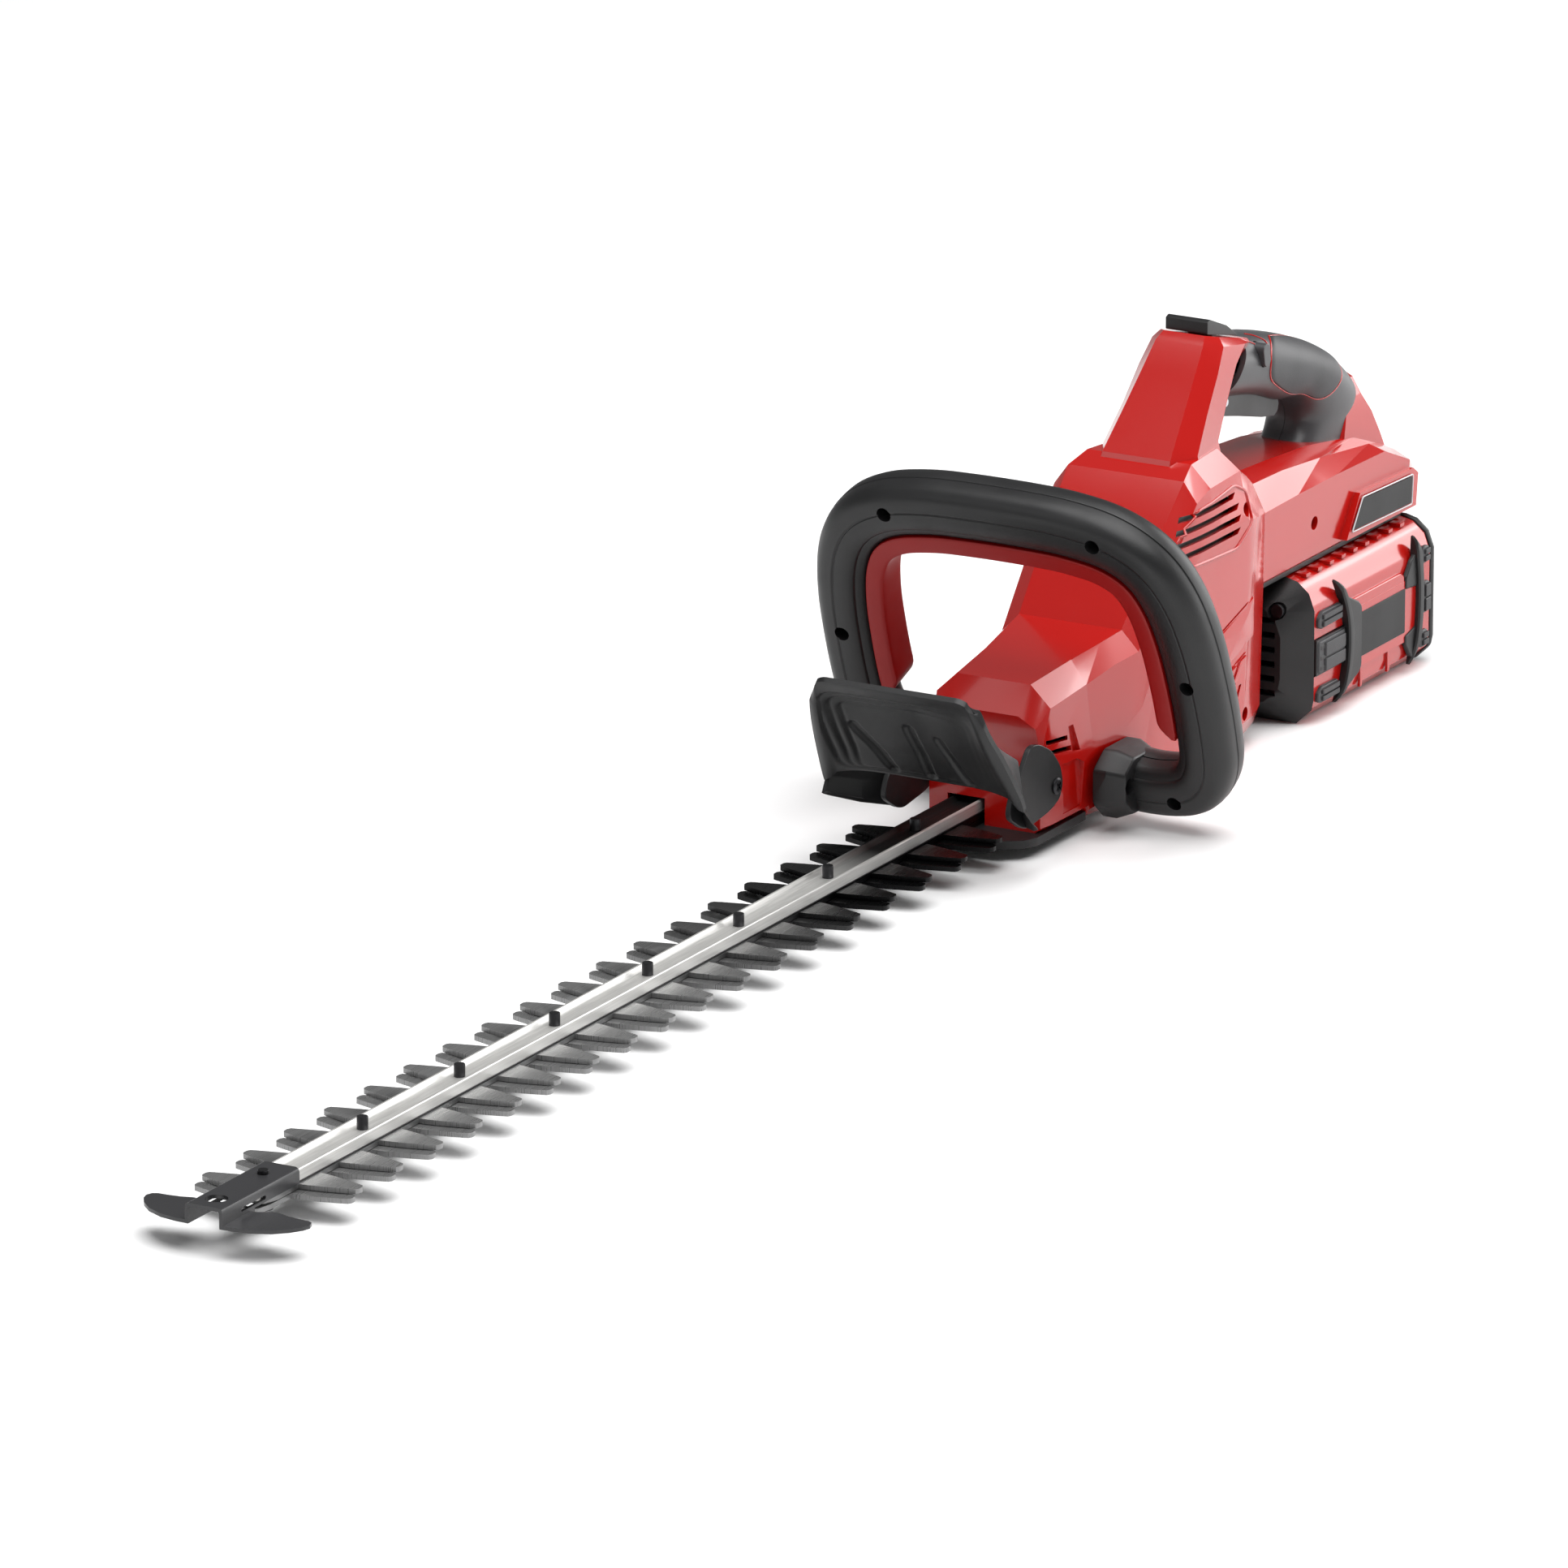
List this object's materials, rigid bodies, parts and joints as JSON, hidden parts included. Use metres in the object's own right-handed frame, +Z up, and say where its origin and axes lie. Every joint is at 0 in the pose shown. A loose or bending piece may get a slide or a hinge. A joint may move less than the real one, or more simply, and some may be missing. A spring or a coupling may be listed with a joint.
{
  "type": "hedge trimmer",
  "caption": "Cordless hedge trimmer with a 610 mm class dual-action blade, bail front handle, hand shield and slide-on battery pack.",
  "frame": {"origin": "on the flat underside of the gearbox base plate, on the body's centre plane", "axes": "+Y points to the rear (the blade points to -Y), +X to the tool's left side, +Z up"},
  "size_m": [0.206, 1.0305, 0.2015],
  "materials": {
    "red_shell": "semi-gloss red moulded plastic",
    "black_plastic": "fine-textured black plastic",
    "liner_red": "satin dark red plastic",
    "grip_grey": "satin grey plastic",
    "soft_pad": "soft matte rubber",
    "blade_steel": "ground and blackened steel",
    "bar_aluminium": "bright satin",
    "steel": "machined",
    "dark_steel": "black oxide",
    "tip_steel": "black coated sheet",
    "alloy": "die-cast alloy",
    "copper": "bare copper",
    "circuit": "green laminate",
    "cell_wrap": "blue shrink wrap",
    "badge_black": "gloss black plate, no lettering"
  },
  "bodies": {
    "tool": {"housing_left": "red_shell", "housing_right": "red_shell", "base_plate": "black_plastic", "gear_case": "alloy", "gear_cover": "alloy", "housing_screws": "dark_steel", "hand_shield": "black_plastic", "shield_screws": "dark_steel", "front_handle_front_shell": "black_plastic", "front_handle_rear_shell": "black_plastic", "front_handle_liner": "liner_red", "front_handle_screws": "dark_steel", "handle_clamps": "black_plastic", "badge_plates": "badge_black", "vent_screens": "black_plastic", "rear_grip_left": "grip_grey", "rear_grip_right": "grip_grey", "grip_pads": "soft_pad", "trigger_pin": "steel", "trigger_spring": "steel", "switch": "black_plastic", "lock_off_spring": "steel", "cross_button_spring": "steel", "motor_stator": "dark_steel", "motor_end_bell": "alloy", "motor_bearings": "steel", "crank_bearings": "steel", "blade_bar": "bar_aluminium", "guide_strip": "black_plastic", "blade_bolts": "dark_steel", "bolt_bushes": "steel", "tip_guard": "tip_steel", "controller_board": "circuit", "heat_sink": "alloy", "terminal_block": "black_plastic", "tool_terminals": "copper", "tool_rails": "black_plastic"},
    "upper_blade": {"upper_blade": "blade_steel"},
    "lower_blade": {"lower_blade": "blade_steel"},
    "crank": {"crank_shaft": "steel", "crank_gear": "steel"},
    "rotor": {"motor_rotor": "dark_steel", "motor_shaft": "steel", "motor_fan": "black_plastic", "motor_pinion": "steel"},
    "trigger": {"trigger": "black_plastic"},
    "lock_off": {"lock_off_slider": "black_plastic"},
    "cross_button": {"cross_button": "grip_grey"},
    "battery": {"battery_shell": "red_shell", "battery_front_cap": "black_plastic", "battery_rear_cap": "black_plastic", "battery_brackets": "black_plastic", "battery_pads": "black_plastic", "battery_labels": "badge_black", "battery_cells": "cell_wrap", "battery_screws": "dark_steel", "release_springs": "steel"},
    "release_left": {"release_button_left": "black_plastic"},
    "release_right": {"release_button_right": "black_plastic"}
  },
  "joints": [
    {"name": "upper_blade_slide", "type": "slide", "parent": "tool", "child": "upper_blade", "axis": [0, 1, 0], "range_m": [-0.01007, 0.00392]},
    {"name": "lower_blade_slide", "type": "slide", "parent": "tool", "child": "lower_blade", "axis": [0, 1, 0], "range_m": [-0.00392, 0.01007]},
    {"name": "crank_turn", "type": "hinge", "parent": "tool", "child": "crank", "pos_m": [-0.01, 0.027, 0.01], "axis": [0, 0, 1], "continuous": true},
    {"name": "rotor_turn", "type": "hinge", "parent": "tool", "child": "rotor", "pos_m": [0, 0.04409, 0.04], "axis": [0, 0, 1], "continuous": true},
    {"name": "trigger_pull", "type": "hinge", "parent": "tool", "child": "trigger", "pos_m": [0, 0.2044, 0.1522], "axis": [1, 0, 0], "range_deg": [0, 6], "stiffness_Nm_per_rad": 1.5, "deforming": ["trigger_spring"]},
    {"name": "lock_off_push", "type": "slide", "parent": "tool", "child": "lock_off", "axis": [0, -0.9701, 0.2425], "range_m": [-0.004, 0], "stiffness_N_per_m": 300},
    {"name": "cross_button_push", "type": "slide", "parent": "tool", "child": "cross_button", "axis": [-1, 0, 0], "range_m": [0, 0.003], "stiffness_N_per_m": 300},
    {"name": "battery_slide", "type": "slide", "parent": "tool", "child": "battery", "axis": [0, 1, 0], "range_m": [0, 0.14]},
    {"name": "release_left_press", "type": "slide", "parent": "battery", "child": "release_left", "axis": [-1, 0, 0], "range_m": [0, 0.003], "stiffness_N_per_m": 400},
    {"name": "release_right_press", "type": "slide", "parent": "battery", "child": "release_right", "axis": [1, 0, 0], "range_m": [0, 0.003], "stiffness_N_per_m": 400}
  ],
  "couplings": [
    {"joint": "lower_blade_slide", "follows": "upper_blade_slide", "ratio": -1},
    {"joint": "rotor_turn", "follows": "crank_turn", "ratio": -3}
  ]
}
